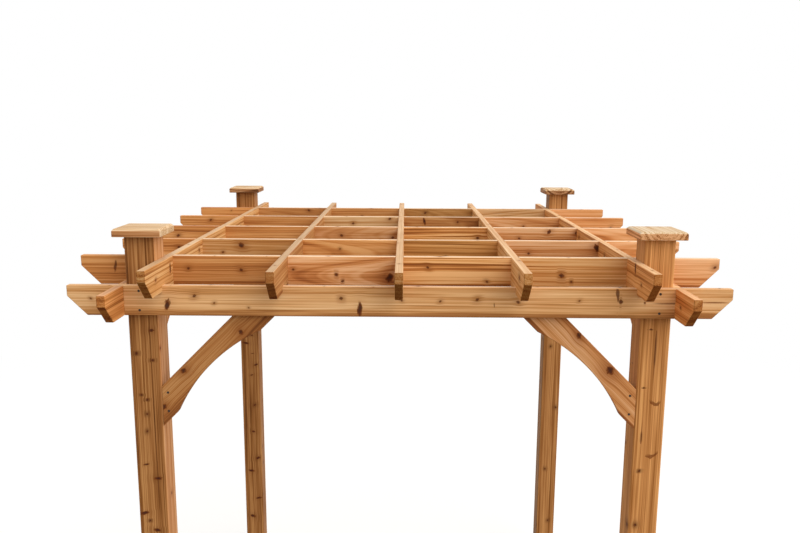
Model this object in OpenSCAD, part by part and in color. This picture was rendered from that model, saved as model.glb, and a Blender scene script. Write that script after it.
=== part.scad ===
// Free-standing square timber pergola, in millimetres, +Z up, standing on z = 0.
// Four capped posts carry a ring of beams on their outer faces. Arched knee braces stiffen
// each post both ways. Rafters run from front to back over the beams, seated in shallow notches,
// and rows of blocks fill the bays between them, flush on top. Each row ends in a shaped tail
// on both sides, which seats over the side beam.
// X runs along the front, Y from front to back.

/* [Boards] */
// Thickness of every board: beams, rafters, blocks, tails and braces
board_t = 38; // [30:1:50]
// Depth of every board
board_h = 140; // [120:1:180]
// Overhang of a board's shaped end beyond the beam that it crosses
overhang = 224; // [150:1:400]

/* [Shaped ends] */
// Plumb height left above the sloping cut at a board's end
end_plumb = 50; // [20:1:90]
// Run of the sloping cut along the board
end_run = 90; // [40:1:130]

/* [Posts] */
// Side of the square posts
post_w = 140; // [110:1:180]
// Radius of the posts' eased long edges
post_round = 8; // [2:0.5:20]
// Length of the posts
post_h = 3048; // [2440:1:3600]
// Distance between the posts' centres, both ways
post_span = 2384; // [1800:1:3000]
// Height of the posts above the top of the grid of rafters and blocks
post_rise = 113; // [40:1:200]

/* [Joints] */
// Depth to which the grid is notched down over the beams
seat_notch = 30; // [10:1:45]
// Room left on each side of a board in its notch
lap_gap = 0.5; // [0.2:0.1:1.5]

/* [Post caps] */
// Overhang of a cap beyond the post's faces
cap_overhang = 40; // [15:1:70]
// Thickness of a cap
cap_t = 38; // [25:1:60]
// Width of the bevel round a cap's upper edge
cap_bevel = 9; // [2:0.5:14]

/* [Knee braces] */
// Drop from the beam's underside to the brace's upper edge at the post
brace_drop = 355; // [250:1:450]
// Room between the top of a brace and the grid above it
brace_clear = 15; // [5:1:40]
// Distance along the lower edge from the brace's tip to the arch
arch_start = 104; // [60:1:150]
// Chord of the arch cut into the lower edge
arch_chord = 570; // [400:1:640]
// Height of the arch above its chord
arch_rise = 50; // [15:1:60]

/* [Output] */
// Piece to draw, or all

/* [Hidden] */
$fn = 96;
eps = 1;

// Levels
grid_top = post_h - post_rise;
grid_bottom = grid_top - board_h;
beam_top = grid_bottom + seat_notch;
beam_bottom = beam_top - board_h;

// Lines, as distances from the middle of the plan
post_line = post_span / 2;
post_inner = post_line - post_w / 2;
post_outer = post_line + post_w / 2;
beam_line = post_outer + board_t / 2;
grid_edge = post_inner - board_t / 2;
grid_lines = [-grid_edge, -grid_edge / 2, 0, grid_edge / 2, grid_edge];

// Half the length of every beam and rafter, clear width of a bay and start of the tails
board_half = beam_line + board_t / 2 + overhang;
bay = grid_edge / 2 - board_t;
tail_start = grid_edge + board_t / 2;

// Width of every notch and depth of a half lap
notch_w = board_t + 2 * lap_gap;
lap_h = board_h / 2;

// Knee brace: rise behind the beam, height of its plumb cut and radius of its arch
brace_top = board_h - seat_notch - brace_clear;
brace_cut = board_h * sqrt(2);
arch_r = (pow(arch_chord / 2, 2) + pow(arch_rise, 2)) / (2 * arch_rise);

// Colours
post_colour = [0.66, 0.45, 0.28];
beam_colour = [0.75, 0.54, 0.35];
rafter_colour = [0.80, 0.60, 0.41];
block_colour = [0.76, 0.52, 0.31];
brace_colour = [0.70, 0.49, 0.30];
cap_colour = [0.86, 0.70, 0.51];

// A board along X with its top at z = 0, plumb at the top of each end and sloped below
module board() {
    rotate([90, 0, 0])
        translate([0, 0, -board_t / 2])
            linear_extrude(board_t)
                polygon([
                    [-board_half, 0], [board_half, 0],
                    [board_half, -end_plumb], [board_half - end_run, -board_h],
                    [end_run - board_half, -board_h], [-board_half, -end_plumb]
                ]);
}

// Notch across a board at x, cut down from its top edge
module notch_above(x, depth) {
    translate([x - notch_w / 2, -board_t / 2 - eps, -depth])
        cube([notch_w, board_t + 2 * eps, depth + eps]);
}

// Notch across a board at x, cut up from its bottom edge
module notch_below(x, depth) {
    translate([x - notch_w / 2, -board_t / 2 - eps, -board_h - eps])
        cube([notch_w, board_t + 2 * eps, depth + eps]);
}

// Beam along the front or back, half-lapped over the side beams
module cross_beam(y) {
    translate([0, y, beam_top])
        difference() {
            board();
            for (x = [-beam_line, beam_line])
                notch_below(x, lap_h);
        }
}

// Beam along a side, half-lapped under the front and back beams
module side_beam(x) {
    translate([x, 0, beam_top])
        rotate([0, 0, 90])
            difference() {
                board();
                for (y = [-beam_line, beam_line])
                    notch_above(y, lap_h);
            }
}

// Rafter along Y, seated over the front and back beams
module rafter(x) {
    translate([x, 0, grid_top])
        rotate([0, 0, 90])
            difference() {
                board();
                for (y = [-beam_line, beam_line])
                    notch_below(y, seat_notch);
            }
}

// Row of blocks along X, one in each bay between the rafters
module block_row(y) {
    for (i = [0 : len(grid_lines) - 2])
        translate([grid_lines[i] + board_t / 2, y - board_t / 2, grid_bottom])
            cube([bay, board_t, board_h]);
}

// Shaped end of a row on the right, butted on the outer rafter and seated over the side beam
module tail(y) {
    translate([0, y, grid_top])
        difference() {
            rotate([90, 0, 0])
                translate([0, 0, -board_t / 2])
                    linear_extrude(board_t)
                        polygon([
                            [tail_start, 0], [board_half, 0],
                            [board_half, -end_plumb], [board_half - end_run, -board_h],
                            [tail_start, -board_h]
                        ]);
            notch_below(beam_line, seat_notch);
        }
}

// Section of a post: a square with its corners rounded
module post_section() {
    flat = post_w - 2 * post_round;
    square([post_w, flat], center = true);
    square([flat, post_w], center = true);
    for (x = [-flat / 2, flat / 2], y = [-flat / 2, flat / 2])
        translate([x, y])
            circle(r = post_round);
}

module post(side_x, side_y) {
    translate([side_x * post_line, side_y * post_line, 0])
        linear_extrude(post_h)
            post_section();
}

// Square cap with its upper edge bevelled at 45 degrees: the same section is drawn along both
// ways and what they share is kept
module cap_section() {
    half = post_w / 2 + cap_overhang;
    rotate([90, 0, 0])
        translate([0, 0, -half])
            linear_extrude(2 * half)
                polygon([
                    [-half, 0], [half, 0],
                    [half, cap_t - cap_bevel], [half - cap_bevel, cap_t],
                    [cap_bevel - half, cap_t], [-half, cap_t - cap_bevel]
                ]);
}

module cap(side_x, side_y) {
    translate([side_x * post_line, side_y * post_line, post_h])
        intersection() {
            cap_section();
            rotate([0, 0, 90])
                cap_section();
        }
}

// Outline of a knee brace: x from the post's face, y from the beam's underside
module brace_outline() {
    tip = brace_drop + brace_cut;
    mid = (arch_start + arch_chord / 2) / sqrt(2);
    out = (arch_r - arch_rise) / sqrt(2);
    difference() {
        polygon([
            [0, -tip], [tip + brace_top, brace_top],
            [brace_drop + brace_top, brace_top], [0, -brace_drop]
        ]);
        translate([mid + out, mid - tip - out])
            circle(r = arch_r);
    }
}

// Brace in the front left corner along X, flush with the post's outer face, behind the beam
module corner_brace() {
    translate([-post_inner, -post_outer + board_t, beam_bottom])
        rotate([90, 0, 0])
            linear_extrude(board_t)
                brace_outline();
}

// Brace under the front or back beam, mirrored into its corner
module cross_brace(side_x, side_y) {
    mirror([side_x > 0 ? 1 : 0, 0, 0])
        mirror([0, side_y > 0 ? 1 : 0, 0])
            corner_brace();
}

// Brace under a side beam: the cross brace turned a quarter, mirrored into its corner
module side_brace(side_x, side_y) {
    mirror([side_x > 0 ? 1 : 0, 0, 0])
        mirror([0, side_y > 0 ? 1 : 0, 0])
            mirror([1, -1, 0])
                corner_brace();
}

module post_front_left() color(post_colour) post(-1, -1);
module post_front_right() color(post_colour) post(1, -1);
module post_back_left() color(post_colour) post(-1, 1);
module post_back_right() color(post_colour) post(1, 1);

module cap_front_left() color(cap_colour) cap(-1, -1);
module cap_front_right() color(cap_colour) cap(1, -1);
module cap_back_left() color(cap_colour) cap(-1, 1);
module cap_back_right() color(cap_colour) cap(1, 1);

module beam_front() color(beam_colour) cross_beam(-beam_line);
module beam_back() color(beam_colour) cross_beam(beam_line);
module beam_left() color(beam_colour) side_beam(-beam_line);
module beam_right() color(beam_colour) side_beam(beam_line);

module rafter_1() color(rafter_colour) rafter(grid_lines[0]);
module rafter_2() color(rafter_colour) rafter(grid_lines[1]);
module rafter_3() color(rafter_colour) rafter(grid_lines[2]);
module rafter_4() color(rafter_colour) rafter(grid_lines[3]);
module rafter_5() color(rafter_colour) rafter(grid_lines[4]);

module block_row_1() color(block_colour) block_row(grid_lines[0]);
module block_row_2() color(block_colour) block_row(grid_lines[1]);
module block_row_3() color(block_colour) block_row(grid_lines[2]);
module block_row_4() color(block_colour) block_row(grid_lines[3]);
module block_row_5() color(block_colour) block_row(grid_lines[4]);

module tail_left_1() color(block_colour) mirror([1, 0, 0]) tail(grid_lines[0]);
module tail_left_2() color(block_colour) mirror([1, 0, 0]) tail(grid_lines[1]);
module tail_left_3() color(block_colour) mirror([1, 0, 0]) tail(grid_lines[2]);
module tail_left_4() color(block_colour) mirror([1, 0, 0]) tail(grid_lines[3]);
module tail_left_5() color(block_colour) mirror([1, 0, 0]) tail(grid_lines[4]);

module tail_right_1() color(block_colour) tail(grid_lines[0]);
module tail_right_2() color(block_colour) tail(grid_lines[1]);
module tail_right_3() color(block_colour) tail(grid_lines[2]);
module tail_right_4() color(block_colour) tail(grid_lines[3]);
module tail_right_5() color(block_colour) tail(grid_lines[4]);

module brace_front_left() color(brace_colour) cross_brace(-1, -1);
module brace_front_right() color(brace_colour) cross_brace(1, -1);
module brace_back_left() color(brace_colour) cross_brace(-1, 1);
module brace_back_right() color(brace_colour) cross_brace(1, 1);

module brace_left_front() color(brace_colour) side_brace(-1, -1);
module brace_left_back() color(brace_colour) side_brace(-1, 1);
module brace_right_front() color(brace_colour) side_brace(1, -1);
module brace_right_back() color(brace_colour) side_brace(1, 1);

post_front_left();
post_front_right();
post_back_left();
post_back_right();
cap_front_left();
cap_front_right();
cap_back_left();
cap_back_right();
beam_front();
beam_back();
beam_left();
beam_right();
rafter_1();
rafter_2();
rafter_3();
rafter_4();
rafter_5();
block_row_1();
block_row_2();
block_row_3();
block_row_4();
block_row_5();
tail_left_1();
tail_left_2();
tail_left_3();
tail_left_4();
tail_left_5();
tail_right_1();
tail_right_2();
tail_right_3();
tail_right_4();
tail_right_5();
brace_front_left();
brace_front_right();
brace_back_left();
brace_back_right();
brace_left_front();
brace_left_back();
brace_right_front();
brace_right_back();
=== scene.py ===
# %% [markdown]
# # A cedar pergola, board by board
# The imported model gives every timber its exact place and size. This lesson dresses each one as the
# real thing: sawn cedar with eased edges, grain that runs along the board and bends round knots,
# end grain where a board is cut across, and dark screw heads where the carpenter fixed it.
# The frame is loaded first.

# %% Load the frame
import math
import random
from functools import partial
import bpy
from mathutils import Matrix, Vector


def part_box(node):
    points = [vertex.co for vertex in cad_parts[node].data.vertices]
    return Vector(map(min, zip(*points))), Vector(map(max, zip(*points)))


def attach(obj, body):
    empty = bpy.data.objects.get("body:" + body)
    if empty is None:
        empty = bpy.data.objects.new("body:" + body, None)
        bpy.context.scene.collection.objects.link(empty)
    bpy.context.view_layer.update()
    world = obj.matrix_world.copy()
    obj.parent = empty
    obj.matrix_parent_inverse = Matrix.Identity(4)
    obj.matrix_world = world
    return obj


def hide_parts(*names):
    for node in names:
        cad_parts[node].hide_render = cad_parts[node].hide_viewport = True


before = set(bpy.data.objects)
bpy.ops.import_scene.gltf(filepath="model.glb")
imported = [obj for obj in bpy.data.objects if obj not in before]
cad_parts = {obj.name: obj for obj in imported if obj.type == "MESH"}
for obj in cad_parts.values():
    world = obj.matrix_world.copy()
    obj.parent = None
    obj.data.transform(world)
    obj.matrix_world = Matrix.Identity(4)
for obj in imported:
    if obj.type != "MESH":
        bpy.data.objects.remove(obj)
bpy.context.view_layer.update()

from types import SimpleNamespace

import bmesh
import bpy
from mathutils import Matrix, Vector

scene = bpy.context.scene


def put(name, data):
    """Puts an object into the scene."""
    thing = bpy.data.objects.new(name, data)
    scene.collection.objects.link(thing)
    return thing


# %% [markdown]
# ## The camera
# The picture was taken from a little above the top of the pergola, almost straight on, so the front
# beam and the grid behind it show together. The place and the lens were worked out from the ends of
# the boards.

# %% Set up the camera
PICTURE_W = 800  # pixels across
FOCAL_PX = 771.8  # the lens, in pixels of that picture
SENSOR_MM = 36
CAMERA_AT = (0.0235, -4.747, 3.5477)
TURN_LEFT, LOOK_DOWN, LEAN = 0.0058, 0.1796, 0.0053  # radians

lens = bpy.data.cameras.new("pergola_view")
lens.sensor_fit = "HORIZONTAL"
lens.sensor_width = SENSOR_MM
lens.lens = SENSOR_MM * FOCAL_PX / PICTURE_W
lens.clip_end = 300
camera = put("pergola_view", lens)
camera.matrix_world = (
    Matrix.Translation(CAMERA_AT)
    @ Matrix.Rotation(TURN_LEFT, 4, "Z")
    @ Matrix.Rotation(math.pi / 2 - LOOK_DOWN, 4, "X")
    @ Matrix.Rotation(LEAN, 4, "Z")
)
scene.camera = camera
print("lens: %.1f mm" % lens.lens)

# %% [markdown]
# ## How each timber runs
# Wood has a direction. A board has a length that the grain follows, a width and a thickness, and its
# look can only be right if the material knows which is which. So each timber gets three directions:
# along, across and through. The braces stand at 45 degrees, so theirs are slanted.

# %% Directions of the timbers
X, Y, Z = Vector((1, 0, 0)), Vector((0, 1, 0)), Vector((0, 0, 1))
SIDE_TO_SIDE = (X, Z, Y)
FRONT_TO_BACK = (Y, Z, X)
UPRIGHT = (Z, X, Y)
FLAT = (X, Y, Z)
FLAT_TURNED = (Y, X, Z)


def kind_of(node):
    """The kind of a timber: the first word of its name."""
    return node.split("_")[0]


def directions(node):
    """The along, across and through directions of a timber, from its name."""
    kind = kind_of(node)
    if kind == "post":
        return UPRIGHT
    if kind == "cap":
        return FLAT_TURNED if node.endswith("right") else FLAT
    if kind == "rafter" or node in ("beam_left", "beam_right"):
        return FRONT_TO_BACK
    if kind == "brace":
        low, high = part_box(node)
        middle = (low + high) / 2
        level = X if node.split("_")[1] in ("front", "back") else Y
        inward = -level if middle.dot(level) > 0 else level
        return ((inward + Z).normalized(), (Z - inward).normalized(), Y if level == X else X)
    return SIDE_TO_SIDE


for node in ("post_front_left", "beam_left", "brace_front_left"):
    print(node, "runs along", [round(v, 2) for v in directions(node)[0]])

# %% [markdown]
# ## Knots and marks
# Every branch of the tree left a knot, and construction-grade cedar has many. The ones that can be told
# apart on the front are put where they are on the real boards: millimetres along and across from the
# middle of the timber, then the radius. A fourth number squeezes the mark along the board. A knot is a
# little longer than wide (0.85), a branch that was sawn along its side leaves a dark bar across the
# grain (3 or so), a limb that left the trunk at a low angle leaves a hook (about 0.6), and a drying
# check is a thin dark line along the board (0.03 or less).

# %% Knots that are known by place
KNOWN_KNOTS = {
    ("beam_front", "front"): [
        (-1414, 9, 4), (-1064, -18, 24, 1.9), (-938, 24, 7), (-848, -9, 4), (-690, -30, 3),
        (-265, 17, 7), (-180, -34, 33, 3.0), (12, 8, 4), (189, 6, 5), (358, 15, 7),
        (436, -11, 10, 3.9), (545, 4, 7), (824, 12, 4), (999, 40, 33, 3.9), (1013, 9, 9, 0.9),
        (1123, 5, 4), (1250, 2, 1.5, 0.02), (1440, 8, 1.6, 0.03)],
    ("block_row_1", "front"): [
        (-1010, 9, 6), (-757, 3, 7), (-508, 7, 5), (-302, -17, 7), (-272, -48, 6), (-47, -30, 20, 1.2),
        (135, 21, 6), (419, -47, 5), (774, -16, 10), (822, -45, 5)],
    ("block_row_2", "front"): [
        (-871, 37, 13), (-973, -2, 5), (703, 1, 6), (1076, 32, 20, 1.3), (-330, 20, 4), (250, -20, 5)],
    ("block_row_3", "front"): [
        (-366, 17, 8), (-50, 6, 7), (475, 6, 8), (914, 46, 13, 1.2), (731, 5, 6), (1083, 40, 8),
        (-800, -20, 5)],
    ("block_row_4", "front"): [
        (-331, 24, 7), (-79, 57, 8), (159, 41, 24, 2.6), (388, 37, 7), (-760, -10, 5), (840, 10, 5)],
    ("block_row_5", "front"): [(-704, 52, 8), (179, 38, 8), (-300, 10, 5), (800, 0, 5)],
    ("tail_left_1", "front"): [(-36, 20, 26, 3.9)],
    ("tail_right_1", "front"): [(179, 29, 6)],
    ("tail_left_3", "front"): [(-55, 11, 8)],
    ("tail_left_4", "front"): [(11, 42, 7)],
    ("rafter_1", "right"): [
        (-1382, 3, 6), (-1165, 18, 24, 2.5), (-640, 20, 7), (-180, -25, 6), (420, 10, 7), (900, 30, 6)],
    ("rafter_5", "left"): [
        (-1255, 48, 26, 2.6), (-1357, -10, 5), (-700, 10, 7), (-90, 25, 7), (610, -20, 7)],
    ("post_front_left", "front"): [
        (1080, 35, 12, 1.7), (968, -41, 7), (935, 34, 8, 1.2), (764, -27, 5), (740, -2, 6),
        (669, -6, 5), (582, -10, 5), (413, -23, 13, 2.4), (341, 30, 18, 2.0), (160, -45, 22, 2.3),
        (120, -20, 5), (70, 13, 16, 1.7), (-120, 25, 8), (-380, -30, 8), (-640, 10, 7), (-960, -20, 9),
        (-1290, 30, 7)],
    ("post_front_left", "right"): [
        (992, -58, 6), (700, 20, 6), (231, 0, 7), (-200, -30, 7), (-640, 25, 7), (-1100, 0, 8)],
    ("post_front_right", "front"): [
        (1100, -20, 5), (1000, 6, 1.8, 0.012), (816, -37, 5), (780, 20, 28, 0.62), (570, -34, 1.8, 0.025),
        (516, 22, 29, 0.66), (399, -33, 6), (118, -36, 7), (-160, 15, 9), (-520, -25, 7), (-900, 30, 9),
        (-1300, 0, 7)],
    ("post_back_left", "front"): [
        (400, 18, 9, 1.5), (338, -32, 24, 2.4), (253, 20, 12, 3.2), (160, 44, 15, 1.8), (75, 9, 12, 2.0),
        (-175, 26, 10, 1.2), (-399, 9, 14, 1.7), (-625, 40, 17, 1.6), (-735, -16, 23, 2.2),
        (-973, 36, 23, 2.6), (-1132, -15, 20, 1.5)],
    ("post_back_right", "front"): [(327, -15, 6), (-176, 45, 7), (-700, -20, 6), (-1150, 20, 6)],
    ("brace_front_left", "front"): [(144, -11, 12, 1.1), (-186, 50, 12), (-383, -6, 11)],
    ("brace_front_right", "front"): [(69, 56, 12), (-159, 46, 17)],
}
print("knots placed by hand:", sum(len(k) for k in KNOWN_KNOTS.values()))

# %% [markdown]
# On every other face the knots are scattered with a fixed seed, as often as such boards have them. On a
# narrow edge they are smaller.

# %% Scatter the other knots
KNOT_SPACING = {"post": 0.26, "beam": 0.40, "rafter": 0.42, "block": 0.34, "tail": 0.36, "brace": 0.40,
                "cap": 0.60}  # metres
LEAST_SPACING = 0.10
RADII_MM = (3, 4, 5, 6, 7, 9)
ROUND_KNOT = 0.85  # the squeeze of a plain knot
NARROW, ON_NARROW = 0.03, 0.6  # half the width of a narrow face, and the size of knots on it


def knots_for(node, side, half_length, half_face, dice):
    """The knots on one side of a timber, each as (along, over the face, radius, squeeze), in metres."""
    known = KNOWN_KNOTS.get((node, side))
    if known:
        return sorted((a / 1000, b / 1000, r / 1000, *(squeeze or [ROUND_KNOT])) for a, b, r, *squeeze in known)
    spacing = KNOT_SPACING[kind_of(node)]
    small = ON_NARROW if half_face < NARROW else 1.0
    found = []
    place = -half_length + dice.uniform(0.1, 0.9) * spacing
    while place < half_length:
        radius = small * dice.choice(RADII_MM) / 1000
        found.append((place, dice.uniform(-0.8, 0.8) * half_face, radius, dice.choice((0.6, 0.7, 0.9, 1.3))))
        place += max(LEAST_SPACING, dice.uniform(0.4, 1.6) * spacing)
    return found


print("scattered on one post side:", len(knots_for("post_back_right", "back", 1.5, 0.07, random.Random(4))))

# %% [markdown]
# ## From solid to board
# A CAD solid has edges like knives. A planed board has its arrises eased by a few millimetres, and those
# soft edges catch the light. A Bevel modifier would also round the edges inside a joint, where the real
# boards meet tightly. So an arris is eased only if neither of its faces belongs to a joint.

# %% Find the faces that belong to a joint
BUTT_ENDS = ("block", "tail")  # these meet a rafter with their sawn end
SQUARE_ON = 0.98  # cosine of a face that looks straight along a direction
HAIR = 0.002  # metres, within which two places count as one
INNER_REACH = 1.2  # metres: no outer end is so near to the middle


def joint_faces(node, faces, axes, low, high):
    """The faces of one timber that lie in a joint: the seats and cheeks of notches, and butted ends."""
    along, across, _ = axes
    found = set()
    for face in faces:
        middle = face.calc_center_median()
        a, b = middle.dot(along), middle.dot(across)
        if abs(face.normal.dot(along)) > SQUARE_ON:
            inside = low[0] + HAIR < a < high[0] - HAIR
            inner_end = abs(a) < INNER_REACH and node.startswith(BUTT_ENDS)
            if inside or inner_end:
                found.add(face)
        elif abs(face.normal.dot(across)) > SQUARE_ON and not node.startswith("brace"):
            if low[1] + HAIR < b < high[1] - HAIR:
                found.add(face)
    return found


print("timbers with butted ends:", sum(n.startswith(BUTT_ENDS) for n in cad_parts))

# %% [markdown]
# A row of blocks is one CAD node with four loose timbers, so each mesh is first sorted into its timbers.
# The posts keep their sharp arrises.

# %% Ease the edges of a timber
EASED = {"post": 0.0, "beam": 0.004, "rafter": 0.004, "block": 0.003, "tail": 0.004, "brace": 0.004,
         "cap": 0.003}  # metres
SAME_POINT = 2e-5  # metres
FLAT_WITHIN, ARRIS_FROM = math.radians(0.4), math.radians(20)


def loose_timbers(bm):
    """The separate timbers in a mesh, each as a list of faces, from left to right."""
    left, groups = set(bm.faces), []
    while left:
        group, to_visit = set(), [next(iter(left))]
        while to_visit:
            face = to_visit.pop()
            if face in group:
                continue
            group.add(face)
            to_visit += [f for e in face.edges for f in e.link_faces if f not in group]
        left -= group
        groups.append(sorted(group, key=lambda f: f.index))
    return sorted(groups, key=lambda g: sum((f.calc_center_median().x for f in g)) / len(g))


def extent(faces, axes):
    """Lowest and highest place of some faces along each of the three directions."""
    points = [[v.co.dot(axis) for axis in axes] for f in faces for v in f.verts]
    return [min(c) for c in zip(*points)], [max(c) for c in zip(*points)]


def eased_solid(node, axes):
    """A merged copy of a CAD node's mesh with its outer arrises rounded."""
    bm = bmesh.new()
    bm.from_mesh(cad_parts[node].data)
    bmesh.ops.remove_doubles(bm, verts=bm.verts, dist=SAME_POINT)
    bmesh.ops.dissolve_limit(bm, angle_limit=FLAT_WITHIN, verts=bm.verts, edges=bm.edges)
    bm.faces.index_update()
    radius = EASED[kind_of(node)]
    if radius:
        arrises = set()
        for timber in loose_timbers(bm):
            low, high = extent(timber, axes)
            jointed = joint_faces(node, timber, axes, low, high)
            for edge in {e for f in timber for e in f.edges}:
                plain = not any(f in jointed for f in edge.link_faces)
                if plain and edge.calc_face_angle(0) > ARRIS_FROM:
                    arrises.add(edge)
        bmesh.ops.bevel(bm, geom=sorted(arrises, key=lambda e: e.index), offset=radius, segments=3,
                        profile=0.5, affect="EDGES", clamp_overlap=True)
    return bm


test = eased_solid("brace_front_left", directions("brace_front_left"))
print("faces of an eased brace:", len(test.faces))
test.free()

# %% [markdown]
# ## Telling the material about each board
# The cedar material is solid: it works out the growth rings inside the timber, so stripes, arches and the
# arcs on a sawn end all belong together. It needs to know where a point lies in its own board, where the
# heart of the tree was, and which knot is near. These go into the mesh as attributes, which
# saves having one material for each board.
#
# The heart is given in mm across and through from the board's middle, with the taper of the rings in mm
# per metre, which draws the pointed arches on a flat-sawn board. There it is five times the real taper,
# because the rings are drawn about five times too coarse.

# %% Where the heart of the tree lay
KNOWN_HEARTS = {
    "beam_front": (4, 90, 2), "post_front_left": (-150, 130, 1), "post_front_right": (120, -60, 3),
    "brace_front_right": (30, 70, 12), "cap_front_right": (10, 48, 2), "cap_front_left": (60, -40, 30),
    "block_row_1 1": (-150, 40, 3), "block_row_1 2": (-22, 38, 110), "block_row_1 3": (190, 20, 2),
    "block_row_1 4": (140, -40, 8), "block_row_2 2": (-12, 60, 95), "block_row_2 3": (150, 60, 14),
}
FLAT_SAWN = 0.35  # the share of boards that show arches


def either_way(dice, least, most):
    """A length on one side or the other."""
    return dice.choice((-1, 1)) * dice.uniform(least, most)


def heart_for(node, number, dice):
    """Taper of the rings, and the heart's place across and through, in metres."""
    if node.startswith("post"):
        drawn = either_way(dice, 110, 170), either_way(dice, 110, 170), dice.uniform(0, 2)
    elif dice.random() < FLAT_SAWN:  # with arches
        drawn = dice.uniform(-35, 35), either_way(dice, 55, 90), dice.uniform(40, 110)
    else:  # nearer to quarter-sawn, with straight stripes
        drawn = either_way(dice, 120, 240), dice.uniform(-60, 60), dice.uniform(1, 9)
    one_block = "%s %d" % (node, number + 1)
    across, through, taper = KNOWN_HEARTS.get(one_block, KNOWN_HEARTS.get(node, drawn))
    return Vector((taper * dice.choice((-1, 1)), across, through)) / 1000


print("heart of a flat-sawn beam:", heart_for("beam_front", 0, random.Random(1)))

# %% [markdown]
# A board is cut between one knot and the next, nearer to the smaller one, so that every face belongs to
# one knot only. The knot's pull on the grain dies away inside its room, so the cuts never show.

# %% Cut a timber between its knots
SIDES = {"front": -Y, "back": Y, "left": -X, "right": X, "top": Z, "under": -Z}
FAR, MOST_ROOM = 9.0, 0.3  # metres: past every end, and the room of a lone knot


def side_of(normal):
    """The name of the side that a face looks to."""
    return max(SIDES, key=lambda name: SIDES[name].dot(normal))


def with_room(knots):
    """Each knot with the stretch of board that is its own: (start, end, room, knot)."""
    found = []
    half = [radius / squeeze for _, _, radius, squeeze in knots]  # how far each reaches along
    for i, knot in enumerate(knots):
        start, end = -FAR, FAR
        if i:
            start = knot[0] - (knot[0] - knots[i - 1][0]) * half[i] / (half[i] + half[i - 1])
        if i + 1 < len(knots):
            end = knot[0] + (knots[i + 1][0] - knot[0]) * half[i] / (half[i] + half[i + 1])
        found.append((start, end, min(knot[0] - start, end - knot[0], MOST_ROOM), knot))
    return found


def cut_between(bm, timber, axes, places):
    """Cuts the faces of one timber across its length at some places, without changing its shape."""
    last = None
    for place in sorted(places):
        if last is not None and place - last < HAIR:
            continue
        last = place
        geom = {g for f in timber for g in (f, *f.edges, *f.verts)}
        done = bmesh.ops.bisect_plane(
            bm, geom=list(geom), dist=1e-6, plane_co=axes[0] * place, plane_no=axes[0])
        timber = [g for g in done["geom"] if isinstance(g, bmesh.types.BMFace)]


three = with_room([(place, 0, 0.01, 1) for place in (-0.2, 0.1, 0.3)])
print("stretches of three knots:", [tuple(round(v, 2) for v in s[:3]) for s in three])

# %% [markdown]
# ## The cedar
# The real material is western red cedar, sawn, planed and given a thin coat of clear oil. Its heartwood
# runs from straw to brick red in one stack of boards, with dark late-wood lines, and the surface is
# nearly matt. Colours are written as they look in daylight, as hex values, and one function turns them
# into the linear numbers that Blender counts in. Another adds a node with its settings and links.

# %% Three helpers for materials
MATH, VECTOR, SPLIT = "ShaderNodeMath", "ShaderNodeVectorMath", "ShaderNodeSeparateXYZ"
NOISE, RANGE, RAMP, MIX = "ShaderNodeTexNoise", "ShaderNodeMapRange", "ShaderNodeValToRGB", "ShaderNodeMix"
SMOOTH = {"interpolation_type": "SMOOTHSTEP"}  # for a range that begins and ends gently


def colour(hex_code):
    """A colour written as sRGB hex, as linear red, green, blue and alpha."""
    parts = [int(hex_code[i:i + 2], 16) / 255 for i in (1, 3, 5)]
    return [p / 12.92 if p <= 0.04045 else ((p + 0.055) / 1.055) ** 2.4 for p in parts] + [1.0]


def add_node(tree, kind, links=(), operation=None, stops=(), **settings):
    """Adds a node with its settings, links or fills its inputs (by name, or in order), gives its outputs."""
    node = tree.nodes.new(kind)
    if operation:
        settings["operation"] = operation
    for name, value in settings.items():
        setattr(node, name, value)
    for name, value in links.items() if isinstance(links, dict) else enumerate(links):
        if isinstance(value, bpy.types.NodeSocket):
            tree.links.new(value, node.inputs[name])
        else:
            node.inputs[name].default_value = value
    for i, (place, hex_code) in enumerate(stops):  # of a colour ramp, which starts with two
        ramp = node.color_ramp.elements
        stop = ramp[i] if i < len(ramp) else ramp.new(place)
        stop.position, stop.color = place, colour(hex_code)
    return node.outputs


def nodes_of(owner):
    """Empties the nodes of a material or the world, and gives the function that adds to them."""
    owner.use_nodes = True
    owner.node_tree.nodes.clear()
    return partial(add_node, owner.node_tree)


print("cedar in daylight, linear:", [round(c, 3) for c in colour("#CB945E")])

# %% [markdown]
# Inside the material the board's measures are read back, each under its own name.

# %% Read a board's measures in a material
CARRIED = ("grain", "heart", "knot_at", "knot_size", "board", "edges")


def measures(add):
    """The sockets of everything a board carries with it, by name."""
    m = SimpleNamespace()
    for name in CARRIED:
        setattr(m, name, add("ShaderNodeAttribute", attribute_name=name)["Vector"])
    m.radius, m.room, m.squeeze = add(SPLIT, [m.knot_size])
    m.seed, m.shade, m.surface = add(SPLIT, [m.board])
    m.upper, m.middle, m.lower = add(SPLIT, [m.edges])
    m.along, m.across, _ = add(SPLIT, [m.grain])
    m.own = add("ShaderNodeCombineXYZ", [m.seed] * 3)[0]
    return m


print("a board carries:", *CARRIED)

# %% [markdown]
# No two knots have the same outline. Each mark leans by its own small angle, drawn from its place along
# the board, so a mark that is moved by a millimetre leans another way. Its edge is roughened in its own
# size. Distances are counted in knot radii. A hook is only the lower arc of its outline.

# %% Measure how near the knot is
MOST_LEAN = 0.4  # sideways for each unit of height, to either side
UPRIGHT_FROM = 1.5  # a mark that is squeezed more than this leans less
ROUGH_SCALE, ROUGH_DEPTH = 1.3, 1.5  # lumps and depth of the ragged edge, in radii
HOOK_SQUEEZE, HOOK_RADIUS = 0.7, 0.01  # a hook has less squeeze and more radius (metres) than these
HOOK_HALF, HOOK_ROUGH = 0.19, 0.4  # half the width of its arc, in radii, and how ragged it is
HOOK_LOWER = (-0.5, -0.8)  # where its arc begins and is whole, in radii along the board


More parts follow.
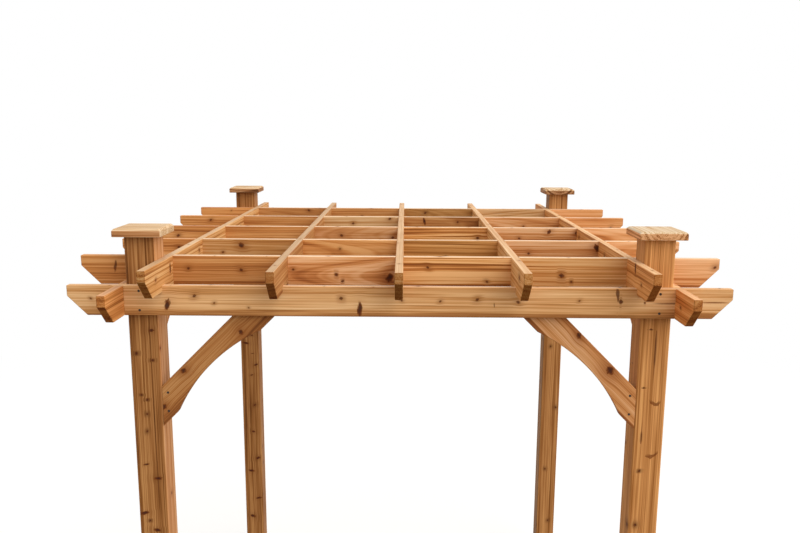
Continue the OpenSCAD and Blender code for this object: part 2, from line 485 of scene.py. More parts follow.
def knot_shape(add, m):
    """Adds the distance from the knot in radii, plain and ragged, and the arc of a hook."""
    m.away = add(VECTOR, [m.grain, m.knot_at], "SUBTRACT")[0]
    which = add(SPLIT, [m.knot_at])[0]
    chance = add("ShaderNodeTexWhiteNoise", {"W": which}, noise_dimensions="1D")["Value"]
    lean = add(MATH, [chance, 2 * MOST_LEAN, -MOST_LEAN], "MULTIPLY_ADD")[0]
    upright = add(MATH, [UPRIGHT_FROM, m.squeeze], "DIVIDE", use_clamp=True)[0]
    lean = add(MATH, [lean, upright], "MULTIPLY")[0]
    along, across, through = add(SPLIT, [m.away])
    along = add(MATH, [across, lean, along], "MULTIPLY_ADD")[0]
    along = add(MATH, [along, m.squeeze], "MULTIPLY")[0]
    oval = add("ShaderNodeCombineXYZ", [along, across, through])[0]
    one_radius = add(MATH, [1.0, m.radius], "DIVIDE")[0]
    oval = add(VECTOR, {0: oval, "Scale": one_radius}, "SCALE")[0]
    m.radii = add(VECTOR, [oval], "LENGTH")["Value"]
    own_place = add(VECTOR, [oval, (0.9, 0.9, 0.9), m.knot_at], "MULTIPLY_ADD")[0]
    edge = add(NOISE, {"Vector": own_place, "Scale": ROUGH_SCALE, "Detail": 2.0})[0]
    edge = add(MATH, [edge, ROUGH_DEPTH, -ROUGH_DEPTH / 2], "MULTIPLY_ADD")[0]
    m.ragged = add(MATH, [m.radii, edge], "ADD")[0]
    long_one = add(MATH, [m.squeeze, HOOK_SQUEEZE], "LESS_THAN")[0]
    large_one = add(MATH, [m.radius, HOOK_RADIUS], "GREATER_THAN")[0]
    m.hook = add(MATH, [long_one, large_one], "MULTIPLY")[0]
    low_down = add(SPLIT, [oval])[0]
    lower = add(RANGE, [low_down, *HOOK_LOWER])[0]
    outline = add(MATH, [edge, HOOK_ROUGH, m.radii], "MULTIPLY_ADD")[0]
    arc = add(MATH, [outline, 1.0, HOOK_HALF], "COMPARE")[0]
    arc = add(MATH, [arc, lower], "MULTIPLY")[0]
    m.arc = add(MATH, [arc, m.hook], "MULTIPLY")[0]


print("a knot leans by up to", round(math.degrees(math.atan(MOST_LEAN))), "degrees")

# %% [markdown]
# Round a knot the fibres part. The place of a point is pulled towards the knot before the rings are
# worked out, so that the lines flow round it. The pull dies away over a few radii, and always inside the
# knot's own stretch of board. A bar across the grain pulls less, and a hook not at all.

# %% Bend the grain round a knot
PULL_FALL = 0.36  # the pull is exp(-(0.36 radii) squared)
PULL = 0.6  # the share of the way to the knot, right beside it
FULL_ROOM = 0.4  # the pull is whole over this share of the knot's room


def knot_pull(add, m):
    """Adds how strongly the knot pulls, and the place that the rings see."""
    pull = add(MATH, [m.radii, PULL_FALL], "MULTIPLY")[0]
    pull = add(MATH, [pull, pull], "MULTIPLY")[0]
    pull = add(MATH, [pull, -1.0], "MULTIPLY")[0]
    pull = add(MATH, [pull], "EXPONENT")[0]
    off = add(SPLIT, [m.away])[0]
    off = add(MATH, [off], "ABSOLUTE")[0]
    near = add(MATH, [m.room, FULL_ROOM], "MULTIPLY")[0]
    window = add(RANGE, [off, m.room, near], **SMOOTH)[0]
    narrow = add(MATH, [m.squeeze, 1.0], "MAXIMUM")[0]
    narrow = add(MATH, [narrow, 2.0], "POWER")[0]
    bend = add(MATH, [pull, window], "MULTIPLY")[0]
    bend = add(MATH, [bend, narrow], "DIVIDE")[0]
    m.body = add(MATH, [1.0, m.hook], "SUBTRACT")[0]
    m.bend = add(MATH, [bend, m.body], "MULTIPLY")[0]
    push = add(VECTOR, [m.away, (0, PULL, PULL)], "MULTIPLY")[0]
    push = add(VECTOR, {0: push, "Scale": m.bend}, "SCALE")[0]
    m.flow = add(VECTOR, [m.grain, push], "SUBTRACT")[0]


print("a knot pulls on the grain as far as", round(2 / PULL_FALL, 1), "radii")

# %% [markdown]
# The rings of a slow-grown cedar are 1 to 3 mm apart, too fine to show from five metres away, so they
# are drawn coarser: broad bands that a few good or poor years make, groups of rings, and dark late-wood
# lines. Every point of the board gets its distance from the heart of the tree, with the taper of the
# trunk and a slow wander along the board.

# %% Work out the rings
BAND_MM, GROUP_MM, LATE_MM = 30, 12, 19  # drawn coarser than the real 1 to 3 mm
WANDER_MM = 18
WANDERS_PER_M = (0.9, 6, 6)  # about 1100 by 170 mm


def board_noise(add, m, per_metre, detail):
    """Noise that follows the grain, with so many lumps to a metre in each direction."""
    place = add(VECTOR, [m.flow, per_metre, m.own], "MULTIPLY_ADD")[0]
    return add(NOISE, {"Vector": place, "Scale": 1.0, "Detail": detail})[0]


def ring_field(add, m):
    """Adds the distance from the heart of the tree."""
    from_heart = add(VECTOR, [m.flow, m.heart], "SUBTRACT")[0]
    from_heart = add(VECTOR, [from_heart, (0, 1, 1)], "MULTIPLY")[0]
    ring = add(VECTOR, [from_heart], "LENGTH")["Value"]
    taper = add(SPLIT, [m.heart])[0]
    ring = add(MATH, [m.along, taper, ring], "MULTIPLY_ADD")[0]
    wander = board_noise(add, m, WANDERS_PER_M, 2.0)
    m.ring = add(MATH, [wander, WANDER_MM / 1000, ring], "MULTIPLY_ADD")[0]


def ring_noise(add, m, size_mm, detail):
    """A run of lighter and darker years, some millimetres wide."""
    place = add(MATH, [m.ring, 1000 / size_mm, m.seed], "MULTIPLY_ADD")[0]
    return add(NOISE, {"W": place, "Scale": 1.0, "Detail": detail}, noise_dimensions="1D")[0]


print("bands %d mm, groups %d mm, late-wood lines %d mm" % (BAND_MM, GROUP_MM, LATE_MM))

# %% [markdown]
# All layers are added up to one depth of colour from 0, pale, to 1, late wood. Fibres are long, thin
# streaks. The two long edges of a board and its middle can be deeper or paler, because a board sawn from
# near the bark has sapwood along one edge.

# %% Add up the depth of colour
FIBRE_MM = 5  # drawn coarser: real fibres are finer than a hair
FIBRES_PER_M = (2, 1000 / FIBRE_MM, 1000 / FIBRE_MM)
CLOUDS_PER_M = (2.5, 14, 14)  # about 400 by 70 mm
BAND, GROUP, FIBRE, CLOUD, LATE = 0.4, 0.65, 1.35, 0.45, 0.22  # the share of each layer
PLAIN = 0.38  # the depth of wood before the layers
LATE_FROM, LATE_FULL = 0.52, 0.66  # the part of the years that is late wood
PER_HALF_BOARD = 14.3  # 1 / 0.07 m, half the height of a board
UPPER_EDGE, LOWER_EDGE = (0.38, 0.62), (-0.48, -0.72)  # where each begins and is whole


def depth_of_colour(add, m, contrast):
    """Adds the depth of colour, and the fine lines that also make the surface uneven."""
    fibre = board_noise(add, m, FIBRES_PER_M, 2.0)
    cloud = board_noise(add, m, CLOUDS_PER_M, 1.0)
    group = ring_noise(add, m, GROUP_MM, 2.0)
    late = ring_noise(add, m, LATE_MM, 0.0)
    late = add(RANGE, [late, LATE_FROM, LATE_FULL])[0]
    layers = ((ring_noise(add, m, BAND_MM, 0.5), BAND), (group, GROUP), (fibre, FIBRE), (cloud, CLOUD))
    depth = add(MATH, [late, LATE * contrast, PLAIN], "MULTIPLY_ADD")[0]
    for layer, share in layers:
        swing = add(MATH, [layer, -0.5], "ADD")[0]
        depth = add(MATH, [swing, share * contrast, depth], "MULTIPLY_ADD")[0]
    # How far up the board, from -1 at its lower edge to 1 at its upper edge, with a slow drift.
    drift = add(MATH, [cloud, 0.5, -0.25], "MULTIPLY_ADD")[0]
    height = add(MATH, [m.across, PER_HALF_BOARD, drift], "MULTIPLY_ADD")[0]
    up, down = (add(RANGE, [height, *edge], **SMOOTH)[0] for edge in (UPPER_EDGE, LOWER_EDGE))
    between = add(MATH, [1.0, up], "SUBTRACT")[0]
    between = add(MATH, [between, down], "SUBTRACT")[0]
    for amount, where in ((m.upper, up), (m.middle, between), (m.lower, down)):
        depth = add(MATH, [amount, where, depth], "MULTIPLY_ADD")[0]
    m.depth = depth
    m.uneven = add(MATH, [fibre, 0.5, group], "MULTIPLY_ADD")[0]


print("fibres drawn %d mm wide" % FIBRE_MM)

# %% [markdown]
# Three things then happen to the plain wood. The upper edges are painted paler: partly faded by the sun,
# partly painted light from above. A sawn end drinks oil and turns rich and dark; the sloping cuts that look
# down are darkened most, and that extra darkness is painted shade. And a knot has a warm stain round it
# and a dark, hard body, while a hook is only a dark arc. A branch that was sawn along its side is paler
# than one sawn across, and a small knot is paler than a large one.

# %% Bleach, oil and mark the wood
# the first is the pale colour that tops are painted towards, for sun fading and painted light from above; the
# second darkens sawn ends, for oil and, on the sloping cuts, painted shade
FADED_AND_LIT_TOP, ENDS_OIL_AND_SHADE = "#E0C5A6", (0.42, 0.31, 0.15)
STAIN = 0.7  # of the late-wood colour, right beside a knot
PALE_BAR = 3.2  # a bar that is squeezed more than this is paler
KNOT_RADII, KNOT_DARKNESS = (0.004, 0.016), (0.76, 0.96)  # a small and a large knot, in metres
KNOT_EDGE = (1.25, 0.85)  # radii at which the dark body begins and is whole
ARC = 0.8  # how dark a hook is
KNOT_STOPS = [(0.0, "#2C1206"), (0.55, "#481A02"), (1.0, "#743A0C")]


def weather(add, m, wood):
    """Paints the upper edges paler (sun fading and painted top light) and darkens the sawn ends (oil, and
    painted shade on sloping cuts).
    """
    # how far a top is painted paler: sun fading and painted light from above
    paled = add(MATH, [m.surface, -1.0], "MULTIPLY", use_clamp=True)[0]
    wood = add(MIX, {"Factor": paled, 6: wood, 7: colour(FADED_AND_LIT_TOP)}, data_type="RGBA")["Result"]
    # sawn ends darkened: oil in the end grain, and on the sloping cuts that look down also painted shade
    ends_oil_and_shade = add(VECTOR, [wood, ENDS_OIL_AND_SHADE], "MULTIPLY")[0]
    m.sawn = add(MATH, [m.surface, 0.0], "MAXIMUM", use_clamp=True)[0]
    return add(MIX, {"Factor": m.sawn, 6: wood, 7: ends_oil_and_shade}, data_type="RGBA")["Result"]


def mark_knot(add, m, wood, late):
    """Sets the knot into the wood: a stain, then a dark body, or the arc of a hook."""
    stain = add(MATH, [m.bend, STAIN], "MULTIPLY")[0]
    wood = add(MIX, {"Factor": stain, 6: wood, 7: colour(late)}, data_type="RGBA")["Result"]
    inside = add(RANGE, [m.ragged, *KNOT_EDGE], **SMOOTH)[0]
    strength = add(MATH, [PALE_BAR, m.squeeze], "DIVIDE", use_clamp=True)[0]
    by_size = add(RANGE, [m.radius, *KNOT_RADII, *KNOT_DARKNESS])[0]
    strength = add(MATH, [strength, by_size], "MULTIPLY")[0]
    mark = add(MATH, [inside, strength], "MULTIPLY")[0]
    mark = add(MATH, [mark, m.body], "MULTIPLY")[0]
    mark = add(MATH, [m.arc, ARC, mark], "MULTIPLY_ADD", use_clamp=True)[0]
    body = add(RAMP, [m.ragged], stops=KNOT_STOPS)[0]
    return add(MIX, {"Factor": mark, 6: wood, 7: body}, data_type="RGBA")["Result"]


print("upper edges bleach to", FADED_AND_LIT_TOP)

# %% [markdown]
# Oiled wood has a faint sheen on the planed faces and less on sawn ends, which are rougher. Nine runs of
# colour, named for their look and how the surface was made, are enough for a stack of boards, and a tenth
# is the rough sawn edge of the caps.

# %% Make the cedar finishes
DEPTHS = (0.10, 0.42, 0.70, 0.98)  # where the four colours of a run stand
PLANED_ROUGH, LATE_ROUGH, SAWN_ROUGH = 0.58, 0.15, 0.35  # the last two are added


def cedar(name, *run, contrast=1.0):
    """Oiled cedar in one run of colour, from its palest band to its late-wood lines."""
    material = bpy.data.materials.new(name)
    add = nodes_of(material)
    m = measures(add)
    knot_shape(add, m)
    knot_pull(add, m)
    ring_field(add, m)
    depth_of_colour(add, m, contrast)
    wood = add(RAMP, [m.depth], stops=zip(DEPTHS, run))[0]
    wood = add(VECTOR, {0: wood, "Scale": m.shade}, "SCALE")[0]
    wood = weather(add, m, wood)
    wood = mark_knot(add, m, wood, run[-1])
    rough = add(MATH, [m.depth, LATE_ROUGH, PLANED_ROUGH], "MULTIPLY_ADD")[0]
    rough = add(MATH, [m.sawn, SAWN_ROUGH, rough], "MULTIPLY_ADD")[0]
    bump = add("ShaderNodeBump", {"Height": m.uneven, "Strength": 0.25, "Distance": 0.001})[0]
    skin = add("ShaderNodeBsdfPrincipled", {
        "Base Color": wood, "Roughness": rough, "Normal": bump, "IOR": 1.5, "Specular IOR Level": 0.2})[0]
    add("ShaderNodeOutputMaterial", {"Surface": skin})
    return material


CEDARS = [
    cedar("cedar_planed_honey", "#E2B680", "#CF9558", "#B5773C", "#8B5325"),
    cedar("cedar_planed_russet", "#E0A76B", "#CC8A4C", "#B16E36", "#864D21"),
    cedar("cedar_planed_striped", "#E8B67C", "#D29352", "#B47238", "#8A5122", contrast=1.6),
    cedar("cedar_planed_salmon", "#E6B486", "#D3955D", "#BB7740", "#91552B"),
    cedar("cedar_planed_blond", "#EBC799", "#DAAB77", "#C38C54", "#9A6535"),
    cedar("cedar_planed_umber", "#CB975E", "#B57E43", "#98632D", "#6E431C"),
    cedar("cedar_post_brown", "#CB945A", "#A9713D", "#875221", "#552F0F", contrast=1.2),
    cedar("cedar_post_smooth", "#CD975D", "#AB7440", "#885423", "#563010", contrast=0.75),
    cedar("cedar_cap_weathered", "#F2DAB8", "#E4C297", "#CDA06D", "#A97A47", contrast=1.5),
    cedar("cedar_cap_sawn_edge", "#CFA074", "#B27B4C", "#8F5A30", "#5E381C", contrast=1.5),
]
HONEY, RUSSET, STRIPED, SALMON, BLOND, UMBER, POST, POST_SMOOTH, CAP, CAP_EDGE = range(len(CEDARS))
print("cedar finishes:", [m.name for m in CEDARS])

# %% [markdown]
# ## Choosing the boards
# A carpenter takes boards from the stack as they come, so neighbours differ. Each timber below gets a
# shade, where 1 is as written, and one of the finishes. The blocks of a row are listed from left to
# right, because each is a board of its own.

# %% Shade and finish of every timber
BOARDS = {
    "post": [(1, POST)], "cap": [(0.79, CAP)], "beam": [(1, HONEY)], "rafter": [(0.97, HONEY)],
    "tail_left": [(0.95, RUSSET)], "tail_right": [(1.08, SALMON)], "brace": [(0.95, RUSSET)],
    "block_row_1": [(0.86, RUSSET), (1, SALMON), (1, STRIPED), (0.95, HONEY)],
    "block_row_2": [(0.84, HONEY), (0.99, RUSSET), (1.1, UMBER), (0.92, SALMON)],
    "block_row_3": [(0.94, RUSSET), (0.87, SALMON), (1.04, STRIPED), (0.92, SALMON)],
    "block_row_4": [(0.86, RUSSET), (0.88, BLOND), (0.7, RUSSET), (0.94, SALMON)],
    "block_row_5": [(0.78, RUSSET), (0.83, RUSSET), (0.86, UMBER), (0.88, BLOND)],
    "tail_left_5": [(1.05, RUSSET)], "cap_front_right": [(0.73, CAP)],
    "post_front_left": [(0.82, POST)], "post_front_right": [(1.24, POST_SMOOTH)],
    "post_back_left": [(0.83, POST)], "post_back_right": [(0.95, POST_SMOOTH)],
    "beam_front": [(1.03, BLOND)], "beam_back": [(0.97, RUSSET)], "beam_left": [(1.1, RUSSET)],
    "beam_right": [(1.18, RUSSET)],
    "rafter_1": [(0.95, HONEY)], "rafter_2": [(0.82, RUSSET)], "rafter_3": [(0.88, HONEY)],
    "rafter_4": [(1.05, HONEY)], "rafter_5": [(1.08, RUSSET)],
    "brace_front_left": [(0.67, RUSSET)], "brace_front_right": [(0.89, SALMON)],
    "brace_left_front": [(1, SALMON)], "brace_right_back": [(1, HONEY)],
}


def own_or_kind(table, node):
    """What a table says about a timber: about itself, its row, or its kind."""
    for name in (node, node.rsplit("_", 1)[0], kind_of(node)):
        if name in table:
            return table[name]


print("finishes of the first row of blocks:", [CEDARS[t].name for _, t in own_or_kind(BOARDS, "block_row_1")])

# %% [markdown]
# Some boards are deeper (+) or paler (-) along the upper edge, in the middle or along the lower edge.
# Tops are painted paler, from 0 to 1: partly faded by the sun, partly painted light from above. Single sides
# have a shade or a finish of their own, which mostly paints in the light and shade that fall on them.

# %% Edges and sides that differ
EDGE_TONES = {
    "beam_front": [(0.12, 0, 0.42)], "beam_back": [(0.1, 0, 0.1)],
    "block_row_1": [(-0.06, 0, 0.06), (-0.1, 0, 0.05), (0.08, -0.28, 0.14), (-0.12, 0.05, 0)],
    "block_row_2": [(0, 0, 0.08), (0, -0.08, 0), (0, 0, 0), (-0.22, 0.08, 0.1)],
    "block_row_3": [(0.05, 0, 0.05), (0, 0, 0.05), (0.1, -0.2, 0), (-0.25, 0.08, 0.08)],
    "tail_left_1": [(-0.05, 0.1, 0)], "tail_right_1": [(-0.22, 0, 0.08)],
    "tail_right_2": [(-0.2, 0, 0.08)], "tail_right_3": [(-0.2, 0, 0.08)],
    "brace_front_left": [(-0.05, 0, 0.35)], "brace_front_right": [(0.12, -0.05, 0.28)],
    "cap_front_left": [(0.06, 0.06, 0.06)], "cap_front_right": [(-0.1, -0.1, -0.1)],
}
# how far the tops of each kind are painted paler, for sun fading and painted light from above; the shaded left
# tails get far less than the lit right tails
TOPS_FADED_AND_LIT = {"block": 0.85, "tail_left": 0.2, "tail_right": 0.85, "beam": 0.35, "rafter": 0.25}
# shades of single sides, mostly painted light and shade for how the light falls on each side
PAINTED_SIDE_LIGHT = {
    ("post_back_right", "left"): 0.68, ("beam_right", "front"): 0.88, ("rafter_2", "right"): 0.85,
    ("rafter_1", "top"): 0.76, ("rafter_2", "top"): 0.74, ("rafter_3", "top"): 0.9,
    ("rafter_4", "top"): 0.88, ("rafter_5", "top"): 0.97, ("cap_front_left", "front"): 1.25,
    ("cap_front_right", "left"): 2.1, ("cap_front_right", "front"): 1.55,
}
# paler finishes on single sides, painted as the light that falls on them
PAINTED_SIDE_FINISH = {("cap_front_left", "right"): CAP, ("post_front_left", "right"): SALMON}
print("boards with their own edges:", len(EDGE_TONES), "single sides:", len(PAINTED_SIDE_LIGHT) + len(PAINTED_SIDE_FINISH))

# %% [markdown]
# A face along the board is planed, one across it is a plumb cut, and one in between is a sloping cut.
# Only the caps are rough from the saw on all four sides.

# %% Tell the surfaces of a timber apart
PLANED, PLUMB_CUT, SLOPING_CUT = 0.0, 0.55, 1.0  # how far each is darkened: oil in the end grain, and on the sloping cuts also painted shade
SLOPING_FROM, PLUMB_FROM = 0.55, 0.9  # cosines to the board's length
LEVEL, HALF_UP = 0.95, 0.5  # cosines to straight up


def surface_of(node, face, along, tone):
    """The side, the finish and the surface of a face. The surface is below 0 on a top that is painted paler."""
    side, finish, up = side_of(face.normal), tone, face.normal.z
    slope = abs(face.normal.dot(along))
    surface = PLANED if slope < SLOPING_FROM else PLUMB_CUT if slope > PLUMB_FROM else SLOPING_CUT
    paling = own_or_kind(TOPS_FADED_AND_LIT, node)
    if kind_of(node) == "cap":
        side = "top" if up > HALF_UP else side
        finish, surface = CAP_EDGE if abs(up) < HALF_UP else tone, PLANED
    # a top painted paler, and on rafters in the pale finish too: sun fading and painted light from above
    elif up > LEVEL and paling:
        finish, surface = BLOND if kind_of(node) == "rafter" else tone, -paling
    # a lit side can take a paler finish, as painted light
    return side, PAINTED_SIDE_FINISH.get((node, side), finish), surface


print("bleached on top:", *TOPS_FADED_AND_LIT)

# %% [markdown]
# Every timber is planned before it is cut. The dice are seeded with its name, so that each run gives the
# same boards.

# %% Plan one timber
PAST_END = 0.03  # metres: a knot so far past an end still bends the grain inside
NO_KNOT = Vector((9, 9, 9)), Vector((0.001, 0.01, 1))  # far away and tiny


def plan_timber(node, number, timber, axes):
    """The middle of a timber, its knots by side, its heart and its seed."""
    dice = random.Random("%s %d" % (node, number))
    low, high = extent(timber, axes)
    origin = Vector([(l + h) / 2 for l, h in zip(low, high)])
    half = [(h - l) / 2 for l, h in zip(low, high)]
    in_a_row = node.startswith("block")
    if in_a_row:  # the known knots of a row are counted from the row's middle
        origin.x = 0
    reach = (low[0] - origin.x, high[0] - origin.x)
    knots = {}
    for side, out in SIDES.items():
        half_face = half[2] if abs(out.dot(axes[1])) > 0.5 else half[1]
        found = knots_for(node, side, half[0], half_face, dice)
        if in_a_row and (node, side) not in KNOWN_KNOTS:
            found = [(k[0] + sum(reach) / 2, *k[1:]) for k in found]
        knots[side] = with_room([k for k in found if reach[0] - PAST_END < k[0] < reach[1] + PAST_END])
    heart = heart_for(node, number, dice)
    return origin, knots, heart, dice.uniform(3, 40)


def knot_of(face, origin, axes, stretches):
    """Place and size of the knot in whose stretch of board a face lies."""
    here = Vector([face.calc_center_median().dot(axis) for axis in axes]) - origin
    for start, end, room, (along, over, radius, squeeze) in stretches:
        if start <= here.x < end:
            on_edge = abs(face.normal.dot(axes[1])) > abs(face.normal.dot(axes[2]))
            place = (along, here.y, over) if on_edge else (along, over, here.z)
            return Vector(place), Vector((radius, room, squeeze))
    return NO_KNOT


print("knots count up to %.0f mm past an end" % (1000 * PAST_END))

# %% [markdown]
# The grain goes on the points, because it changes along the board, and the rest goes on the faces, so
# that two sides of one edge can differ.

# %% Write the board's own measures into its mesh
def write_measures(bm, node, axes):
    """Notes grain, heart, knot and shade on every timber of a mesh."""
    grain = bm.verts.layers.float_vector.new(CARRIED[0])
    heart, knot_at, knot_size, board, edges = [bm.faces.layers.float_vector.new(name) for name in CARRIED[1:]]
    plans = []
    for number, timber in enumerate(loose_timbers(bm)):
        plans.append(plan_timber(node, number, timber, axes))
        origin, knots = plans[-1][:2]
        cut_between(bm, timber, axes, {w[0] + origin.x for side in knots.values() for w in side[1:]})
    bm.faces.index_update()
    shades, edge_tones = own_or_kind(BOARDS, node), EDGE_TONES.get(node, [(0, 0, 0)])
    for number, timber in enumerate(loose_timbers(bm)):
        origin, knots, core, seed = plans[number]
        shade, tone = shades[number % len(shades)]
        for vert in {v for f in timber for v in f.verts}:
            vert[grain] = Vector([vert.co.dot(axis) for axis in axes]) - origin
        for face in timber:
            side, face.material_index, surface = surface_of(node, face, axes[0], tone)
            face[heart] = core
            # with the side's painted light or shade
            face[board] = Vector((seed, shade * PAINTED_SIDE_LIGHT.get((node, side), 1.0), surface))
            face[edges] = Vector(edge_tones[number % len(edge_tones)])
            knot = NO_KNOT if surface > PLANED else knot_of(face, origin, axes, knots[side])
            face[knot_at], face[knot_size] = knot


print("sides that can carry knots:", *SIDES)

# %% [markdown]
# ## Dressing the timbers
# Each timber becomes one mesh at the origin, with its place in its points. The Weighted Normal modifier
# keeps the wide faces flat while the eased edges turn smoothly, and its result is kept as a plain mesh.
# Then the piece takes its CAD node's place.

# %% Build every timber
SHARP_FROM = math.radians(40)


def as_built(piece):
    """The mesh of a piece with its modifiers carried out, which then go."""
    graph = bpy.context.evaluated_depsgraph_get()
    shaped = piece.evaluated_get(graph)
    mesh = bpy.data.meshes.new_from_object(shaped, preserve_all_data_layers=True, depsgraph=graph)
    piece.modifiers.clear()
    return mesh


def dress(node):
    """Makes the cedar timber that stands for a CAD node."""
    axes = directions(node)
    bm = eased_solid(node, axes)
    write_measures(bm, node, axes)
    mesh = bpy.data.meshes.new(node + "_cedar")
    bm.to_mesh(mesh)
    bm.free()
    for material in CEDARS:
        mesh.materials.append(material)
    mesh.shade_smooth()
    mesh.set_sharp_from_angle(angle=SHARP_FROM)
    piece = put(node + "_cedar", mesh)
    normals = piece.modifiers.new("flat_faces", "WEIGHTED_NORMAL")
    normals.keep_sharp, normals.weight = True, 100
    piece.data = as_built(piece)
    bpy.data.meshes.remove(mesh)
    piece.data.name = node + "_cedar"
    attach(piece, "root")
    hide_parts(node)
    return piece


timbers = {node: dress(node) for node in sorted(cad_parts)}
print("timbers dressed:", len(timbers), "faces:", sum(len(t.data.polygons) for t in timbers.values()))

# %% [markdown]
# ## Screws
# The beams are screwed to the posts with two screws at each crossing, and every brace has two screws
# at each end. Only the heads show, half of their height proud of the wood. The pergola is the same from
# all four sides, so each screw is set on boards that run either way.

# %% Where the screws go
BEAM_SCREWS = (0.024, 0.025)  # metres from the beam's upper and lower edge
FOOT_IN, FOOT_DROPS = 0.029, (0.384, 0.476)  # from the post, and below the beams
HEAD_SCREWS = ((0.445, 0.035), (0.555, 0.075))  # from the post, and above the beams' underside


def screw_points():
    """Every screw as a place on the wood and the direction its head looks to."""
    beam_low, beam_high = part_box("beam_front")
    post_low, post_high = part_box("post_front_right")
    brace_low, brace_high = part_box("brace_front_left")
    post_line = (post_low.x + post_high.x) / 2
    rows = (beam_high.z - BEAM_SCREWS[0], beam_low.z + BEAM_SCREWS[1])
    holes = [(post_line, -beam_low.y, z, 1) for z in rows]
    holes += [(post_low.x - FOOT_IN, -brace_low.y, beam_low.z - drop, 1) for drop in FOOT_DROPS]
    holes += [(post_low.x - reach, -brace_high.y, beam_low.z + rise, -1) for reach, rise in HEAD_SCREWS]
    found = []
    for sx in (-1, 1):
        for sy in (-1, 1):
            for a, b, z, out in holes:
                found.append((Vector((sx * a, sy * b, z)), Vector((0, sy * out, 0))))
                found.append((Vector((sx * b, sy * a, z)), Vector((sx * out, 0, 0))))
    return found


screws = screw_points()
points = bpy.data.meshes.new("screw_points")
points.from_pydata([place for place, _ in screws], [], [])
facing = points.attributes.new("facing", "FLOAT_VECTOR", "POINT")
for entry, (_, out) in zip(facing.data, screws):
    entry.vector = out
print("screws:", len(screws))

# %% [markdown]
# The screws are hardened steel under a thin, matt bronze coating, dark brown and worn brighter in spots.
# Plain steel would show as bright dots.

# %% The screw's finish
GRIT_MM = 1.5
BRONZE_STOPS = [(0.3, "#1C130D"), (0.55, "#2A1D14"), (0.8, "#463424")]

bronze = bpy.data.materials.new("coated_steel_bronze")
add = nodes_of(bronze)
place = add("ShaderNodeTexCoord")["Object"]
grit = add(NOISE, {"Vector": place, "Scale": 1000 / GRIT_MM, "Detail": 2.0})[0]
coat = add(RAMP, [grit], stops=BRONZE_STOPS)[0]
rough = add(MATH, [grit, 0.3, 0.3], "MULTIPLY_ADD")[0]
skin = add("ShaderNodeBsdfPrincipled", {"Base Color": coat, "Roughness": rough, "Metallic": 0.2})[0]
add("ShaderNodeOutputMaterial", {"Surface": skin})
print("screw finish:", bronze.name)

# %% [markdown]
# The heads repeat, so Geometry Nodes set one on each point, turned to face out of the wood. A head is a
# flat disc with a recess for the driver: its top is copied, made half as wide and pushed in.

# %% Set a head on every point
HEAD_RADIUS, HEAD_HEIGHT = 0.0060, 0.0016  # metres
RECESS_WIDTH, RECESS_DEPTH = 0.5, -0.3  # of the radius and of the height

heads = bpy.data.node_groups.new("screw_heads", "GeometryNodeTree")
for name, way, kind in (
        ("Points", "INPUT", "Geometry"), ("Head radius", "INPUT", "Float"), ("Head height", "INPUT", "Float"),
        ("Finish", "INPUT", "Material"), ("Heads", "OUTPUT", "Geometry")):
    heads.interface.new_socket(name, in_out=way, socket_type="NodeSocket" + kind)
add = partial(add_node, heads)
given = add("NodeGroupInput")
disc = add("GeometryNodeMeshCylinder", {
    "Vertices": 12, "Radius": given["Head radius"], "Depth": given["Head height"]})
rim = add("GeometryNodeExtrudeMesh", {"Mesh": disc["Mesh"], "Selection": disc["Top"], "Offset Scale": 0.0})
drive = add("GeometryNodeScaleElements", {
    "Geometry": rim["Mesh"], "Selection": rim["Top"], "Scale": RECESS_WIDTH})
deep = add(MATH, [given["Head height"], RECESS_DEPTH], "MULTIPLY")[0]
recess = add("GeometryNodeExtrudeMesh", {
    "Mesh": drive["Geometry"], "Selection": rim["Top"], "Offset Scale": deep})
out = add("GeometryNodeInputNamedAttribute", {"Name": "facing"}, data_type="FLOAT_VECTOR")["Attribute"]
turned = add("FunctionNodeAlignRotationToVector", {"Vector": out}, axis="Z")[0]
placed = add("GeometryNodeInstanceOnPoints", {
    "Points": given["Points"], "Instance": recess["Mesh"], "Rotation": turned})
real = add("GeometryNodeRealizeInstances", {"Geometry": placed[0]})
coated = add("GeometryNodeSetMaterial", {"Geometry": real[0], "Material": given["Finish"]})
add("NodeGroupOutput", {"Heads": coated[0]})

screw_heads = put("screw_heads", points)
setter = screw_heads.modifiers.new("screw_heads", "NODES")
setter.node_group = heads
wanted = {"Head radius": HEAD_RADIUS, "Head height": HEAD_HEIGHT, "Finish": bronze}
for item in heads.interface.items_tree:
    if item.name in wanted:
        setter[item.identifier] = wanted[item.name]
screw_heads.data = as_built(screw_heads)
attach(screw_heads, "root")
print("faces in all screw heads:", len(screw_heads.data.polygons))

# %% [markdown]
# ## Floor, background and light
# The pergola stands on a plain pale floor in soft daylight from above and from the right. The background
# is white because floor and world look white to the camera, not because more light falls on the wood.
# Near the posts the floor keeps part of its real shading, so that the shadow stays. To the light itself
# it is a brownish grey, which keeps the undersides of the boards dark and warm.

# %% Lay the floor
FLOOR_REACH = 60.0  # metres from the middle to each edge
FADE_METRES, FADE_WHITE = (2.0, 9.0), (0.6, 1.0)  # from the middle, and the share of white there
SEEN_FLOOR, LIT_FLOOR = "#F2F1EE", "#756650"
WHITE = (1, 1, 1, 1)


def seen_straight(add):
    """1 for what the camera sees, also in a mirror or through glass, otherwise 0."""
    path = add("ShaderNodeLightPath")
    seen = add(MATH, [path["Is Camera Ray"], path["Is Glossy Ray"]], "MAXIMUM")[0]
    return add(MATH, [seen, path["Is Transmission Ray"]], "MAXIMUM")[0]


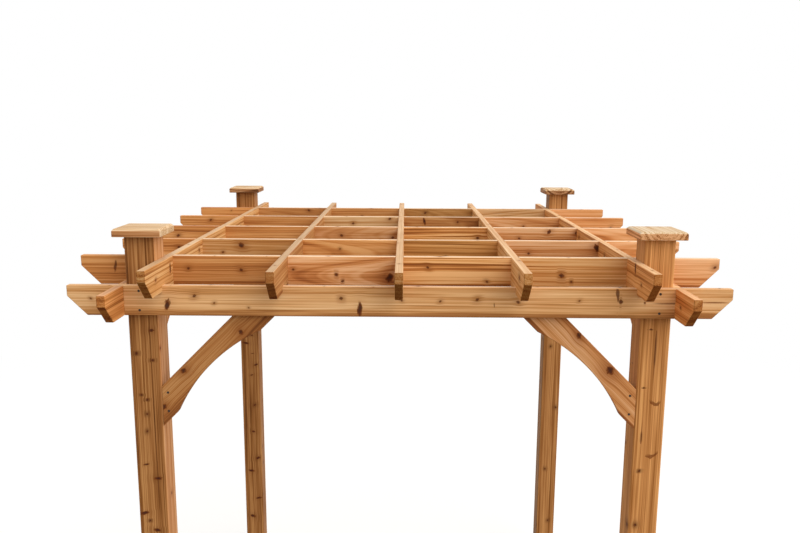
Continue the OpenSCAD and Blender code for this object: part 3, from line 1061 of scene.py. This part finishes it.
floor_mesh = bpy.data.meshes.new("floor")
corners = [(sx * FLOOR_REACH, sy * FLOOR_REACH, 0) for sx, sy in ((-1, -1), (1, -1), (1, 1), (-1, 1))]
floor_mesh.from_pydata(corners, [], [(0, 1, 2, 3)])
floor = put("floor", floor_mesh)
pale = bpy.data.materials.new("pale_floor")
add = nodes_of(pale)
seen = seen_straight(add)
spot = add("ShaderNodeTexCoord")["Object"]
metres = add(VECTOR, [spot], "LENGTH")["Value"]
white = add(RANGE, [metres, *FADE_METRES, *FADE_WHITE], **SMOOTH)[0]
white = add(MATH, [white, seen], "MULTIPLY")[0]
tone = add(MIX, {"Factor": seen, 6: colour(LIT_FLOOR), 7: colour(SEEN_FLOOR)}, data_type="RGBA")["Result"]
matt = add("ShaderNodeBsdfDiffuse", {"Color": tone})[0]
glow = add("ShaderNodeEmission", {"Color": WHITE, "Strength": 1.0})[0]
both = add("ShaderNodeMixShader", [white, matt, glow])[0]
add("ShaderNodeOutputMaterial", {"Surface": both})
floor_mesh.materials.append(pale)
print("floor: %.0f m square" % (2 * FLOOR_REACH))

# %% [markdown]
# Lamps close by would light the front more than the back. So the light is a pale sky all round and one
# very wide sun, which leaves soft shadows.

# %% Light the scene
SKY, SKY_COLOUR = 0.92, (1.0, 0.98, 0.95, 1)
SUN, SUN_COLOUR, SUN_ACROSS = 0.78 * math.pi, (1.0, 0.97, 0.93), math.radians(75)
SUN_FROM = Vector((0.68, -0.42, 0.60))  # from the right, a little in front, and above

world = bpy.data.worlds.new("soft_daylight")
scene.world = world
add = nodes_of(world)
seen = seen_straight(add)
sky = add("ShaderNodeBackground", {"Color": SKY_COLOUR, "Strength": SKY})[0]
backdrop = add("ShaderNodeBackground", {"Color": WHITE, "Strength": 1.0})[0]
mixed = add("ShaderNodeMixShader", [seen, sky, backdrop])[0]
add("ShaderNodeOutputWorld", {"Surface": mixed})

sun_data = bpy.data.lights.new("soft_sun", "SUN")
sun_data.energy, sun_data.angle, sun_data.color = SUN, SUN_ACROSS, SUN_COLOUR
sun = put("soft_sun", sun_data)
sun.rotation_euler = SUN_FROM.to_track_quat("Z", "Y").to_euler()
scene.view_settings.view_transform = "Standard"
print("lamps: sky %.2f, sun %.2f" % (SKY, sun_data.energy))
